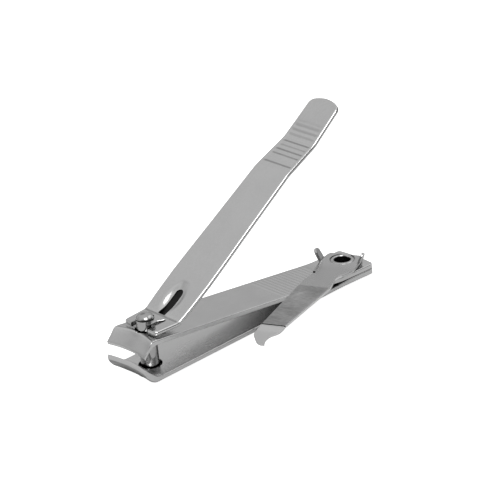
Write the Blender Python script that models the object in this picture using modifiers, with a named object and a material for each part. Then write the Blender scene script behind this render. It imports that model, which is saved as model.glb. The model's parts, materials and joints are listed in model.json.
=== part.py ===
"""Toenail clipper: two sprung blades, a swivelling post, a lever, a swing-out nail file and an eyelet rivet.

Frame: +X runs from the jaws to the tail, +Y across, +Z up. The origin is the centre of the post's disc foot,
which rests on the table at z = 0. Lengths below are millimetres, and MM turns them into metres.
"""

from math import atan2, cos, hypot, pi, radians, sin, sqrt, tan

import bmesh
import bpy
from mathutils import Matrix, Vector

MM = 0.001

# Sheet stock and stack at the tail
BLADE_SHEET = 1.3
BLADE_GAP = 0.30
FILE_SHEET = 0.85
FILE_TIP_SHEET = 0.4
FILE_TIP_DROP = 0.33
FILE_GAP = 0.25
LEVER_SHEET = 1.20

# Body: both blades in side view and plan
LOWER_EDGE = (-7.45, 5.75)
UPPER_EDGE = (-7.3, 8.35)
TAIL_X = 73.8
TAIL_BULGE = 0.45
TAIL_CORNER = 0.9
BEND_X = 62.08
TAIL_DROP = radians(2.13)
FOOT_CLEARANCE = 1.0
BODY_TOP_FRONT = (-4.67, 12.64)
HALF_WIDTH_FRONT = 7.37
HALF_WIDTH_TAIL = 6.7
UPPER_HOLLOWS = ((8.0, 0.8), (10.5, 1.2), (12.0, 1.5), (13.0, 1.4))
LOWER_HOLLOWS = ((1.0, 0.2), (1.8, 0.5), (3.0, 0.9), (6.0, 0.8))

# Post
POST_RADIUS = 2.4
POST_TOP = 16.75
FOOT_RADIUS = 3.55
FOOT_THICKNESS = 0.75
POST_HOLE_RADIUS = 3.1
UPPER_HOLE_RADIUS = 2.95
NOTCH_X = -0.1
NOTCH_Z = (11.2, 14.9)

# Lever, on its top face
PIVOT = (1.15, 13.25)
LEVER_PATH = ((-2.1, 13.85), (5.5, 13.85), (46.6, 39.1), (57.0, 43.6), (68.1, 51.44))
LEVER_BENDS = (0.0, 2.6, 6.0, 6.0, 0.0)
LEVER_HALF_WIDTHS = (
    (0.0, 6.25), (7.6, 6.75), (12.9, 7.05), (19.9, 7.2), (27.0, 7.05), (36.4, 6.72), (54.0, 6.26), (72.0, 5.6),
    (81.0, 5.4),
)
TIP_RADIUS = 10.0
HEEL_CORNER = 1.2
MOUTH_HALF_WIDTH = 3.23
MOUTH_END_X = 4.17
TONGUE_ROOT = 2.5
TONGUE_NECK = (2.5, 1.55)
TONGUE_FRONT = (0.5, 1.45)
SLOT_FROM_HEEL = (0.2, 8.6)
SLOT_HALF_WIDTH = 1.25
SLOT_OFFSET = 0.4
SLOT_DEPTH = 0.9
DISH = (5.3, 5.4, 3.2, 0.35)
RIDGE_COUNT = 8
RIDGE_FIRST = 60.85
RIDGE_PITCH = 1.55
RIDGE_HEIGHT = 0.22

# Rivet and file; the file's stations run from the rivet towards its tip
RIVET_X = 68.27
RIVET_BORE = 2.22
RIVET_SHANK = 2.6
RIVET_FLANGE = 3.2
FLANGE_THICKNESS = 0.35
FLANGE_SEAT_GAP = 0.16
RIVET_HOLE_RADIUS = 3.0
FILE_SWING = radians(26.0)
FILE_BEND_AT = 4.8
FILE_BEND = radians(5.5)
FILE_OUTLINE = (
    (-3.2, -4.2, 4.4), (-3.0, -4.6, 4.8), (-2.2, -4.9, 5.15), (0.0, -5.2, 5.5), (2.6, -5.4, 5.5),
    (6.2, -5.4, 5.4), (8.0, -5.3, 5.2), (9.6, -4.8, 4.8), (11.0, -3.9, 4.4), (12.6, -3.4, 4.3),
    (14.2, -3.3, 4.4), (16.2, -3.55, 4.6), (18.0, -3.9, 4.65), (20.7, -4.3, 4.55), (23.0, -4.35, 4.4),
    (36.0, -3.85, 3.75), (50.8, -3.4, 3.05), (51.6, -3.5, 3.05), (53.0, -3.6, 3.0), (54.6, -3.6, 2.9),
    (56.0, -3.3, 2.8), (57.2, -2.7, 2.6), (58.4, -2.25, 2.2), (59.6, -2.1, 1.6), (61.0, -2.15, 0.8),
    (62.4, -2.4, 0.0), (63.4, -2.7, -0.8), (64.0, -3.0, -1.6), (64.2, -2.95, -2.1),
)
EAR_STATIONS = {1: 1.5, -1: 0.5}
EAR_WIDTH = 2.6
EAR_HEIGHTS = {1: 3.3, -1: 2.6}
EAR_LEANS = {1: radians(27.0), -1: radians(20.0)}


def clear_scene():
    for obj in list(bpy.data.objects):
        bpy.data.objects.remove(obj, do_unlink=True)


def new_collection(name, hidden=False):
    collection = bpy.data.collections.new(name)
    bpy.context.scene.collection.children.link(collection)
    collection.hide_render = hidden
    return collection


def metal(name, colour, roughness):
    material = bpy.data.materials.new(name)
    material.use_nodes = True
    shader = material.node_tree.nodes["Principled BSDF"]
    shader.inputs["Base Color"].default_value = (*colour, 1.0)
    shader.inputs["Roughness"].default_value = roughness
    shader.inputs["Metallic"].default_value = 1.0
    return material


def object_from(name, mesh, collection, material=None):
    obj = bpy.data.objects.new(name, mesh)
    collection.objects.link(obj)
    if material:
        mesh.materials.append(material)
    return obj


def as_cutter(obj):
    obj.hide_render = True
    obj.display_type = "WIRE"
    return obj


def lofted(name, rings, collection, material=None):
    """A closed body through equal rings of points in millimetres, with a flat cap at each end."""
    shape = bmesh.new()
    rows = [[shape.verts.new(Vector(point) * MM) for point in ring] for ring in rings]
    count = len(rows[0])
    for first, second in zip(rows, rows[1:]):
        for i in range(count):
            j = (i + 1) % count
            shape.faces.new((first[i], first[j], second[j], second[i]))
    shape.faces.new(rows[0])
    shape.faces.new(list(reversed(rows[-1])))
    bmesh.ops.recalc_face_normals(shape, faces=shape.faces)
    mesh = bpy.data.meshes.new(name)
    shape.to_mesh(mesh)
    shape.free()
    return object_from(name, mesh, collection, material)


def cylinder(name, radius, low, high, at, collection, segments=40):
    shape = bmesh.new()
    bmesh.ops.create_cone(
        shape, cap_ends=True, segments=segments, radius1=radius * MM, radius2=radius * MM,
        depth=(high - low) * MM,
    )
    bmesh.ops.translate(shape, verts=shape.verts, vec=Vector((0, 0, (high + low) / 2 * MM)))
    mesh = bpy.data.meshes.new(name)
    shape.to_mesh(mesh)
    shape.free()
    obj = object_from(name, mesh, collection)
    obj.matrix_world = at
    return as_cutter(obj)


def block(name, low, high, at, collection):
    shape = bmesh.new()
    bmesh.ops.create_cube(shape, size=1.0)
    size = Vector(high) - Vector(low)
    bmesh.ops.scale(shape, verts=shape.verts, vec=size * MM)
    bmesh.ops.translate(shape, verts=shape.verts, vec=(Vector(high) + Vector(low)) / 2 * MM)
    mesh = bpy.data.meshes.new(name)
    shape.to_mesh(mesh)
    shape.free()
    obj = object_from(name, mesh, collection)
    obj.matrix_world = at
    return as_cutter(obj)


def turned(name, profile, collection, material, steps=48):
    """A profile of (radius, height) points at +X, turned round Z."""
    mesh = bpy.data.meshes.new(name)
    points = [(r * MM, 0.0, h * MM) for r, h in profile]
    closed = profile[0][0] > 0
    edges = [(i, i + 1) for i in range(len(points) - 1)]
    if closed:
        edges.append((len(points) - 1, 0))
    mesh.from_pydata(points, edges, [])
    obj = object_from(name, mesh, collection, material)
    screw = obj.modifiers.new("Turn", "SCREW")
    screw.axis = "Z"
    screw.steps = steps
    screw.render_steps = steps
    screw.use_merge_vertices = True
    screw.merge_threshold = 0.000005
    screw.use_smooth_shade = True
    return obj


def boolean(obj, other, operation="DIFFERENCE"):
    modifier = obj.modifiers.new(other.name, "BOOLEAN")
    modifier.operation = operation
    modifier.solver = "EXACT"
    modifier.object = other


def soften(obj, width, angle=35.0, segments=2):
    modifier = obj.modifiers.new("Edges", "BEVEL")
    modifier.width = width * MM
    modifier.segments = segments
    modifier.limit_method = "ANGLE"
    modifier.angle_limit = radians(angle)
    modifier.use_clamp_overlap = True


def shade(obj, angle=32.0):
    obj.data.shade_smooth()
    obj.data.set_sharp_from_angle(angle=radians(angle))


def smooth_step(value):
    value = max(0.0, min(1.0, value))
    return value * value * (3 - 2 * value)


def between(table, value):
    """Straight-line values between the rows of a table of (station, value)."""
    for (a, first), (b, second) in zip(table, table[1:]):
        if value <= b:
            return first + (second - first) * (value - a) / (b - a)
    return table[-1][1]


# Body -------------------------------------------------------------------------------------------------------


def half_width(x):
    return HALF_WIDTH_FRONT + (HALF_WIDTH_TAIL - HALF_WIDTH_FRONT) * (x - BODY_TOP_FRONT[0]) / (
        TAIL_X - BODY_TOP_FRONT[0]
    )


def lower_outer(x):
    return FOOT_CLEARANCE - max(0.0, x - BEND_X) * tan(TAIL_DROP)


def upper_outer(x):
    base = FOOT_CLEARANCE + 2 * BLADE_SHEET + BLADE_GAP
    if x >= BEND_X:
        return base - (x - BEND_X) * tan(TAIL_DROP)
    slope = (BODY_TOP_FRONT[1] - base) / (BEND_X - BODY_TOP_FRONT[0])
    return base + slope * (BEND_X - x)


def tail_end(side, x):
    """How far the tail's end is set forward of its furthest point, rounding its two corners."""
    y = abs(side) * half_width(x)
    past = min(TAIL_CORNER, y - (half_width(x) - TAIL_CORNER))
    corner = TAIL_CORNER - sqrt(TAIL_CORNER**2 - past**2) if past > 0 else 0.0
    return corner + TAIL_BULGE * side * side


def blade_rings(profile, hollows):
    """The side profile swept across the width, with a hollow front and a tail that bulges at mid width."""
    rings = []
    stations = (0.0, 0.14, 0.28, 0.42, 0.56, 0.68, 0.76, 0.84, 0.91, 0.96, 0.99, 1.0)
    for side in [-s for s in reversed(stations)] + list(stations[1:]):
        crown = 1 - side * side
        ring = []
        for x, z in profile:
            moved = x + crown * between(hollows, z) * smooth_step((-0.4 - x) / 4.2)
            moved -= tail_end(side, x) * max(0.0, (x - 67.0) / (TAIL_X - 67.0))
            ring.append((moved, side * half_width(x), z))
        rings.append(ring)
    return rings


def long_stations():
    return [TAIL_X, 67.0, BEND_X + 0.6, BEND_X - 0.6, 46.0, 30.0, 14.0, 5.0, 0.0]


def lower_profile():
    outer = [(x, lower_outer(x)) for x in long_stations()]
    outer += [(-2.0, 1.0), (-3.4, 1.0), (-4.4, 1.12), (-5.2, 1.43), (-6.0, 1.95), (-6.7, 2.6)]
    outer += [(-7.3, 3.4), (-7.65, 4.2), (-7.75, 4.95), LOWER_EDGE]
    inner = [(-6.95, 5.3), (-6.2, 4.6), (-5.3, 3.8), (-4.3, 3.05), (-3.3, 2.52), (-2.0, 2.3)]
    inner += [(x, lower_outer(x) + BLADE_SHEET) for x in reversed(long_stations())]
    return outer + inner


def upper_profile():
    outer = [(x, upper_outer(x)) for x in long_stations()]
    outer += [(-2.0, upper_outer(-2.0)), (-3.3, upper_outer(-3.3)), (-4.1, 12.45), (-4.7, 12.2), (-5.15, 11.75)]
    outer += [(-5.9, 10.8), (-6.6, 9.75), (-7.0, 9.05), UPPER_EDGE]
    inner = [(-6.7, 8.98), (-6.0, 9.62), (-5.2, 10.18), (-4.2, 10.62), (-3.1, 10.98), (-2.0, 10.98)]
    inner += [(x, upper_outer(x) - BLADE_SHEET / cos(0.13)) for x in reversed(long_stations()) if x < BEND_X]
    inner += [(x, upper_outer(x) - BLADE_SHEET) for x in reversed(long_stations()) if x >= BEND_X]
    return outer + inner


def blade(name, rings, collection, material, cutters):
    obj = lofted(name, rings, collection, material)
    shade(obj)
    soften(obj, 0.18, 38.0)
    for cutter in cutters:
        boolean(obj, cutter)
    return obj


# Post -------------------------------------------------------------------------------------------------------


def center_post(collection, cutters, material):
    r = POST_RADIUS
    profile = [(0.0, POST_TOP), (0.9, POST_TOP - 0.1), (1.6, POST_TOP - 0.35), (2.15, POST_TOP - 0.8)]
    profile.append((r, POST_TOP - 1.25))
    profile += [(r, FOOT_THICKNESS + 0.1), (r + 0.1, FOOT_THICKNESS), (FOOT_RADIUS - 0.2, FOOT_THICKNESS)]
    profile += [(FOOT_RADIUS, FOOT_THICKNESS - 0.2), (FOOT_RADIUS, 0.18), (FOOT_RADIUS - 0.18, 0.0), (0.0, 0.0)]
    obj = turned("center_post", profile, collection, material)
    low, high = NOTCH_Z
    boolean(obj, block("post_notch", (NOTCH_X, -4, low), (6, 4, high), Matrix(), cutters))
    return obj


# Lever ------------------------------------------------------------------------------------------------------


def rounded_path(corners, bends, step):
    """Points (x, z, direction) along a polyline whose corners are arcs, about one step apart."""
    points = []
    directions = []
    for (x0, z0), (x1, z1) in zip(corners, corners[1:]):
        directions.append(atan2(z1 - z0, x1 - x0))
    at = corners[0]
    for i, direction in enumerate(directions):
        last = i == len(directions) - 1
        turn = 0.0 if last else directions[i + 1] - direction
        cut = 0.0 if last else bends[i + 1] * tan(abs(turn) / 2)
        length = hypot(corners[i + 1][0] - at[0], corners[i + 1][1] - at[1]) - cut
        pieces = max(1, round(length / step))
        for k in range(pieces):
            along = length * k / pieces
            points.append((at[0] + along * cos(direction), at[1] + along * sin(direction), direction))
        at = (at[0] + length * cos(direction), at[1] + length * sin(direction))
        if last:
            points.append((*at, direction))
            continue
        arc = max(2, round(abs(turn) * bends[i + 1] / step))
        radius = bends[i + 1] * (1 if turn > 0 else -1)
        centre = (at[0] - radius * sin(direction), at[1] + radius * cos(direction))
        for k in range(arc):
            a = direction + turn * k / arc
            points.append((centre[0] + radius * sin(a), centre[1] - radius * cos(a), a))
        a = directions[i + 1]
        at = (centre[0] + radius * sin(a), centre[1] - radius * cos(a))
    return points


def with_length(points):
    found = [(*points[0], 0.0)]
    for x, z, a in points[1:]:
        found.append((x, z, a, found[-1][3] + hypot(x - found[-1][0], z - found[-1][1])))
    return found


def ridge_height(s):
    k = (s - RIDGE_FIRST) / RIDGE_PITCH
    if k < -0.5 or k > RIDGE_COUNT - 0.5:
        return 0.0
    return RIDGE_HEIGHT * cos(pi * k) ** 2


def dish_depth(s, y):
    centre, half_length, half_breadth, depth = DISH
    return depth * smooth_step(1.35 - hypot((s - 7.6 - centre) / half_length, y / half_breadth))


def lever_half_width(s, total):
    """The plan half width, drawn in at the heel's corners and by the arc that closes the tip."""
    w = between(LEVER_HALF_WIDTHS, s)
    from_tip = max(total - s, 0.04)
    if from_tip < TIP_RADIUS / 3:
        arc = sqrt(TIP_RADIUS**2 - (TIP_RADIUS - from_tip) ** 2)
        w = (w**-10 + arc**-10) ** -0.1
    if s < HEEL_CORNER:
        w -= 0.8 * (HEEL_CORNER - sqrt(HEEL_CORNER**2 - (HEEL_CORNER - s) ** 2))
    return w


def lever_rings(path, across=10):
    total = path[-1][3]
    rings = []
    for x, z, a, s in path:
        w = lever_half_width(s, total)
        top = []
        under = []
        for k in range(across + 1):
            y = w * (-1 + 2 * k / across)
            lift = ridge_height(s) * smooth_step((w - 0.9 - abs(y)) / 0.8) - dish_depth(s, y)
            top.append((x - lift * sin(a), y, z + lift * cos(a)))
            drop = LEVER_SHEET + dish_depth(s, y)
            under.append((x + drop * sin(a), y, z - drop * cos(a)))
        rings.append(top + list(reversed(under)))
    return rings


def lever(collection, cutters, material):
    path = with_length(rounded_path(LEVER_PATH, LEVER_BENDS, 1.0))
    total = path[-1][3]
    dense = []
    for first, second in zip(path, path[1:]):
        dense.append(first)
        pieces = 1
        if RIDGE_FIRST - 1 < first[3] < RIDGE_FIRST + RIDGE_PITCH * RIDGE_COUNT:
            pieces = 2
        if total - first[3] < 2.5:
            pieces = 5
        for k in range(1, pieces):
            dense.append(tuple(a + (b - a) * k / pieces for a, b in zip(first, second)))
    dense.append(path[-1])
    rings = lever_rings(dense)
    rings = [[(x - PIVOT[0], y, z - PIVOT[1]) for x, y, z in ring] for ring in rings]
    obj = lofted("lever", rings, collection, material)
    obj.location = Vector((PIVOT[0], 0, PIVOT[1])) * MM
    shade(obj)
    soften(obj, 0.16, 50.0)
    heel_x, heel_z = LEVER_PATH[1]
    slope = atan2(LEVER_PATH[2][1] - heel_z, LEVER_PATH[2][0] - heel_x)
    tilt = Matrix.Translation(Vector((heel_x, 0, heel_z)) * MM) @ Matrix.Rotation(-slope, 4, "Y")
    boolean(obj, lever_slot(tilt, cutters))
    boolean(obj, fork_mouth(cutters))
    return obj


def fork_mouth(cutters):
    """The opening round the post, with a tongue left standing that reaches into the post's notch."""
    w = MOUTH_HALF_WIDTH
    right = [(-9, w), (MOUTH_END_X, w), (MOUTH_END_X, TONGUE_ROOT), TONGUE_NECK, TONGUE_FRONT]
    outline = [(x, -y) for x, y in right]
    outline += [(x, -y) for x, y in reversed(outline)]
    rings = [[(x, y, z) for x, y in outline] for z in (9.0, 19.0)]
    return as_cutter(lofted("fork_mouth", rings, cutters))


def lever_slot(tilt, cutters):
    """A long blind slot with a rounded upper end."""
    start, end = SLOT_FROM_HEEL
    w = SLOT_HALF_WIDTH
    outline = [(start, -w), (end - w, -w)]
    outline += [(end - w + w * sin(pi * k / 8), -w * cos(pi * k / 8)) for k in range(1, 8)]
    outline += [(end - w, w), (start, w)]
    rings = [[(x, y + SLOT_OFFSET, z) for x, y in outline] for z in (-SLOT_DEPTH, 3.0)]
    obj = lofted("lever_slot", rings, cutters)
    obj.matrix_world = tilt
    return as_cutter(obj)


# File and rivet ---------------------------------------------------------------------------------------------


def tail_frame():
    """The rivet's axis: local Z runs up the axis from the lower blade's underside."""
    foot = Vector((RIVET_X, 0, lower_outer(RIVET_X))) * MM
    return Matrix.Translation(foot) @ Matrix.Rotation(TAIL_DROP, 4, "Y")


def file_height(u):
    return max(0.0, u - FILE_BEND_AT) * tan(FILE_BEND)


def file_bottom():
    return 2 * BLADE_SHEET + BLADE_GAP + FILE_GAP


def file_rings():
    stations = []
    for first, second in zip(FILE_OUTLINE, FILE_OUTLINE[1:]):
        pieces = max(1, round((second[0] - first[0]) / 6.0))
        for k in range(pieces):
            stations.append(tuple(a + (b - a) * k / pieces for a, b in zip(first, second)))
    stations.append(FILE_OUTLINE[-1])
    rings = []
    for u, right, left in stations:
        thinned = smooth_step((u - 51.0) / 5.0)
        z = file_bottom() + file_height(u)
        top = z + FILE_SHEET - FILE_TIP_DROP * thinned
        z += (FILE_SHEET - FILE_TIP_SHEET - FILE_TIP_DROP) * thinned
        ring = [(-u, right, z), (-u, left, z), (-u, left, top), (-u, right, top)]
        rings.append(ring)
    return rings


def ear(side, collection, at):
    """A rounded tab that stands up from the side of the file's base and leans outwards."""
    half = EAR_WIDTH / 2
    round_half = 0.8 * half
    shoulder = EAR_HEIGHTS[side] - round_half
    outline = [(-half, -0.6), (half, -0.6)]
    for k in range(9):
        turn = pi * k / 8
        outline.append((round_half * cos(turn), shoulder + round_half * sin(turn)))
    rings = [[(x, y, z) for x, z in outline] for y in (-0.42, 0.42)]
    obj = lofted("ear_left" if side > 0 else "ear_right", rings, collection)
    place = Matrix.Translation(Vector((-EAR_STATIONS[side], side * 4.9, file_bottom() + 0.6)) * MM)
    obj.matrix_world = at @ place @ Matrix.Rotation(-side * EAR_LEANS[side], 4, "X")
    return as_cutter(obj)


def nail_file(collection, cutters, material):
    at = tail_frame() @ Matrix.Rotation(FILE_SWING, 4, "Z")
    obj = lofted("nail_file", file_rings(), collection, material)
    obj.matrix_world = at
    shade(obj)
    soften(obj, 0.12, 50.0, 1)
    for side in (1, -1):
        boolean(obj, ear(side, cutters, at), "UNION")
    bottom = file_bottom()
    boolean(obj, cylinder("file_bore", RIVET_HOLE_RADIUS, bottom - 2, bottom + 3, at, cutters))
    seat = bottom + FILE_SHEET - FLANGE_THICKNESS - FLANGE_SEAT_GAP
    boolean(obj, cylinder("file_seat", RIVET_FLANGE + 0.25, seat, bottom + 3, at, cutters))
    return obj


def tail_rivet(collection, material):
    top = file_bottom() + FILE_SHEET
    low = -BLADE_GAP
    t = FLANGE_THICKNESS
    profile = [(RIVET_BORE, top - 0.15), (RIVET_BORE + 0.15, top + 0.05), (RIVET_SHANK + 0.15, top + 0.05)]
    profile += [(RIVET_FLANGE - 0.1, top - 0.1), (RIVET_FLANGE, top - t), (RIVET_SHANK, top - t)]
    profile += [(RIVET_SHANK, low), (RIVET_FLANGE, low), (RIVET_FLANGE, low - 0.2)]
    profile += [(RIVET_FLANGE - 0.12, low - 0.34), (RIVET_BORE + 0.12, low - 0.34), (RIVET_BORE, low - 0.2)]
    obj = turned("tail_rivet", profile, collection, material)
    obj.matrix_world = tail_frame()
    return obj


def main():
    clear_scene()
    parts = new_collection("nail_clipper")
    cutters = new_collection("cutters", hidden=True)
    polished = metal("polished_steel", (0.60, 0.60, 0.59), 0.18)
    brushed = metal("brushed_steel", (0.62, 0.62, 0.61), 0.3)
    cut_steel = metal("file_steel", (0.5, 0.5, 0.5), 0.42)
    chrome = metal("chrome", (0.72, 0.72, 0.72), 0.1)
    upright = cylinder("post_hole", POST_HOLE_RADIUS, -5, 20, Matrix(), cutters)
    wide_hole = cylinder("upper_post_hole", UPPER_HOLE_RADIUS, -5, 20, Matrix(), cutters)
    rivet_hole = cylinder("rivet_hole", RIVET_HOLE_RADIUS, -5, 10, tail_frame(), cutters)
    blade("lower_blade", blade_rings(lower_profile(), LOWER_HOLLOWS), parts, polished, (upright, rivet_hole))
    blade("upper_blade", blade_rings(upper_profile(), UPPER_HOLLOWS), parts, polished, (wide_hole, rivet_hole))
    center_post(parts, cutters, chrome)
    lever(parts, cutters, brushed)
    nail_file(parts, cutters, cut_steel)
    tail_rivet(parts, chrome)


main()
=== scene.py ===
"""Toenail clipper, fine visual model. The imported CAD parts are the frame, and each piece here stands for one.

Design lengths below are millimetres, and MM turns them into the frame's metres. +X runs from the jaws to the
tail, +Y across and +Z up. Joint positions and outer limits are read from the frame.
"""

import json
from math import atan2, cos, exp, hypot, log1p, pi, radians, sin, sqrt, tan

import bmesh
import bpy
from mathutils import Matrix, Vector


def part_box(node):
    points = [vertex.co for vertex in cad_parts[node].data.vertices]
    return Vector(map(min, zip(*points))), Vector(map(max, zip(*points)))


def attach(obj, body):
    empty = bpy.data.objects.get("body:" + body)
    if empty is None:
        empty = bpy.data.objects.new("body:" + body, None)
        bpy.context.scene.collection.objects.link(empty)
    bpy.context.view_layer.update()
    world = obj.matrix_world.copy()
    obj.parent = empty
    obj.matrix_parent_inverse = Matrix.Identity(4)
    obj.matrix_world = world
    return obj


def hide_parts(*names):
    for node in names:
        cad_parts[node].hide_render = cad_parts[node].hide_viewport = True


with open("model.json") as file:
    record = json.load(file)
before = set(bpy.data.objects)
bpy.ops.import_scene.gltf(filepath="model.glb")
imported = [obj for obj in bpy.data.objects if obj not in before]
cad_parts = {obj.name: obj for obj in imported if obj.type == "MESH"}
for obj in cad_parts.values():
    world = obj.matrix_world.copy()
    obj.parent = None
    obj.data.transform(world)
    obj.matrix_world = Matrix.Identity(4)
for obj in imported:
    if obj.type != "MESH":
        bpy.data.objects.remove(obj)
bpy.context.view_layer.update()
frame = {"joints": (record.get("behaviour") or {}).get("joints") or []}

MM = 0.001
JOINTS = {joint["name"]: joint for joint in frame["joints"]}
SHARP_ANGLE = radians(30.0)

# Camera and surroundings
LOOK_AT = (35.86, 2.62, 22.34)
CAMERA_AZIMUTH = radians(-39.73)
CAMERA_ELEVATION = radians(25.04)
CAMERA_ROLL = radians(-6.11)
CAMERA_DISTANCE = 684.8
CAMERA_LENS = 198.33
FLOOR_HALF = 3000.0
WHITE = (1.0, 1.0, 1.0, 1.0)
# Grey of the surroundings by the height of the direction, from straight down at -1 to straight up at 1.
# ROOM_BACK is the +Y side and ROOM_FRONT the -Y side, and ROOM_BLEND is the range of Y over which they blend.
ROOM_BACK = (
    (-0.3, 0.7), (-0.03, 0.5), (0.1, 0.42), (0.27, 0.54), (0.42, 0.64), (0.7, 0.7), (0.9, 0.75), (1.0, 0.8),
)
ROOM_FRONT = (
    (-0.3, 0.6), (-0.1, 0.3), (0.0, 0.12), (0.35, 0.1), (0.6, 0.35), (0.8, 0.6), (1.0, 0.8),
)
ROOM_BLEND = (-0.35, 0.25)
# Soft patches in the surroundings: a direction, the cosines of the angles from it where the patch begins and
# where it is full, and the factor on the grey there.
CARDS = (
    (Vector((0.38, 0.70, 0.60)), 0.978, 0.994, 0.5),
    (Vector((0.694, -0.324, 0.643)), 0.883, 0.951, 2.2),
    (Vector((-0.62, 0.66, 0.40)), 0.90, 0.98, 0.86),
    (Vector((-0.32, 0.69, 0.65)), 0.98, 0.998, 0.8),
)

# Steel: texture scales are per metre, CUT_DEPTH is in metres and CUT_SLANT in radians.
LONG_GRAIN = (60.0, 2600.0, 2600.0)
EVEN_GRAIN = (900.0, 900.0, 900.0)
CLOUD_SCALE = 160.0
CUT_SCALE = 640.0
CUT_SLANT = 0.55
CUT_DEPTH = 0.00002
# The roughness varies by this many times the tone's contrast, and at most by the second share.
ROUGHNESS_SPREAD = 5
MOST_SPREAD = 0.25
# Along X, where the painted shade on the blades' inner faces begins to darken them and where it is darkest
GAP_SHADE_FROM = 28.0
GAP_SHADE_TO = 56.0

# Sheet stock
BLADE_SHEET = 1.3
BLADE_GAP = 0.30
FILE_SHEET = 0.85
FILE_TIP_SHEET = 0.4
FILE_TIP_DROP = 0.33
FILE_GAP = 0.25
LEVER_SHEET = 1.20

# Blades in side view and plan
TAIL_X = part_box("upper_blade")[1].x / MM
TAIL_BULGE = 0.45
TAIL_CORNER = 0.9
TAIL_ROUND_FROM = 67.0
# The lower blade is this much thicker from the rivet to the tail, which closes most of BLADE_GAP to the eye.
# Forward of the rivet that falls by PRESS_ROOM per millimetre, so that the pressed upper blade stays clear.
TAIL_CLOSING = 0.25
PRESS_ROOM = 0.036
BEND_X = 62.08
BEND_SOFTNESS = 0.8
TAIL_DROP = radians(2.13)
FOOT_CLEARANCE = 1.0
BODY_TOP_FRONT = (-4.67, 12.64)
HALF_WIDTH_FRONT = 7.37
HALF_WIDTH_TAIL = 6.7
BLADE_ROUND = 0.3
LOWER_EDGE = (-7.45, 5.75)
UPPER_EDGE = (-7.0, 8.4)
# The slope of the upper blade's top face, in radians, in front of the bend and behind it
UPPER_SLOPES = (0.13, 0.037)
# How far the middle of each jaw is set back, by height
UPPER_HOLLOWS = ((8.0, 0.95), (9.4, 0.95), (10.5, 1.2), (12.0, 1.5), (13.0, 1.4))
LOWER_HOLLOWS = ((1.0, 0.2), (1.8, 0.5), (3.0, 0.9), (6.0, 0.8))
HOLLOW_FROM = -0.4
HOLLOW_REACH = 4.2
RIB_FIRST = 41.25
RIB_PITCH = 1.375
RIB_COUNT = 14
RIB_HEIGHT = 0.07
RIB_MARGIN = 0.5
RIB_FADE = 0.8
# Where the inner faces' steel, darkened towards the tail by painted shade, begins on each jaw and where it
# ends, and how far the jaw belly's darker painted shade reaches
LOWER_INSIDE_FROM = -6.8
UPPER_INSIDE_FROM = -6.5
INSIDE_TO = 60.5
BELLY_SHADE_TO = -2.6

# Post
POST_RADIUS = 2.4
POST_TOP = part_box("center_post")[1].z / MM
FOOT_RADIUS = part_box("center_post")[1].x / MM
FOOT_THICKNESS = 0.75
POST_HOLE_RADIUS = 3.1
UPPER_HOLE_RADIUS = 2.95
NOTCH_X = -0.1
NOTCH_Z = (11.2, 14.9)

# Lever, on its top face
LEVER_PATH = ((-2.1, 13.85), (5.5, 13.85), (46.6, 39.1), (57.0, 43.6), (68.1, 51.44))
LEVER_BENDS = (0.0, 2.6, 9.0, 9.0, 0.0)
LEVER_HALF_WIDTHS = (
    (0.0, 6.25), (7.6, 6.75), (12.9, 7.05), (19.9, 7.2), (27.0, 7.05), (36.4, 6.72), (54.0, 6.26),
    (72.0, 5.6), (81.0, 5.4),
)
LEVER_ROUND = 0.56
LEVER_END_ROUND = 0.3
HEEL_CORNER = 1.2
TIP_RADIUS = 10.0
TIP_CORNER = 1.2
TIP_CURVE_LENGTH = 9.0
MOUTH_HALF_WIDTH = 3.23
MOUTH_END_X = 4.17
TONGUE_ROOT = 2.5
TONGUE_NECK = (2.5, 1.55)
TONGUE_FRONT = (0.5, 1.45)
MOUTH_CHAMFER = 0.08
SLOT_FROM_HEEL = (0.2, 8.6)
SLOT_HALF_WIDTH = 1.25
SLOT_OFFSET = 0.4
# The slot stops short of the lever's underside, and its walls and floor are painted black as shadow.
SLOT_DEPTH = 0.9
# HEEL_S is how far along the top face the heel's bend is. The dish round the slot is placed from there.
# On the near side it is wider and has a gentler wall.
HEEL_S = 7.6
DISH_CENTRE = 5.3
DISH_HALF_LENGTH = 5.9
DISH_HALF_BREADTH = 3.1
DISH_MIDDLE = 0.25
DISH_NEAR_EXTRA = 0.45
DISH_DEPTH = 0.75
DISH_WALL = 0.5
DISH_NEAR_WALL = 0.2
PANEL_START = 57.9
PANEL_DEPTH = 0.12
PANEL_MARGIN = 1.0
PANEL_FADE = 3.0
RIDGE_COUNT = 8
RIDGE_FIRST = 60.85
RIDGE_PITCH = 1.55
RIDGE_HEIGHT = 0.11
RIDGE_VARIATION = 0.25
RIDGE_PHASE = 2.4
RIDGE_FADED = 0.45

# Rivet and file
RIVET_X = JOINTS["file_swing"]["pos_m"][0] / MM
RIVET_BORE = 2.22
RIVET_SHANK = 2.6
RIVET_FLANGE = 3.2
FLANGE_THICKNESS = 0.35
RIVET_HOLE_RADIUS = 3.0
SEAT_GAP = 0.16
SEAT_MARGIN = 0.25
FILE_SWING = radians(-JOINTS["file_swing"]["range_deg"][0])
FILE_BEND_AT = 4.8
FILE_BEND = radians(5.5)
FILE_BEND_SOFTNESS = 0.7
FILE_ROUND = 0.26
FILE_THIN_FROM = 51.0
FILE_THIN_LENGTH = 5.0
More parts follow.
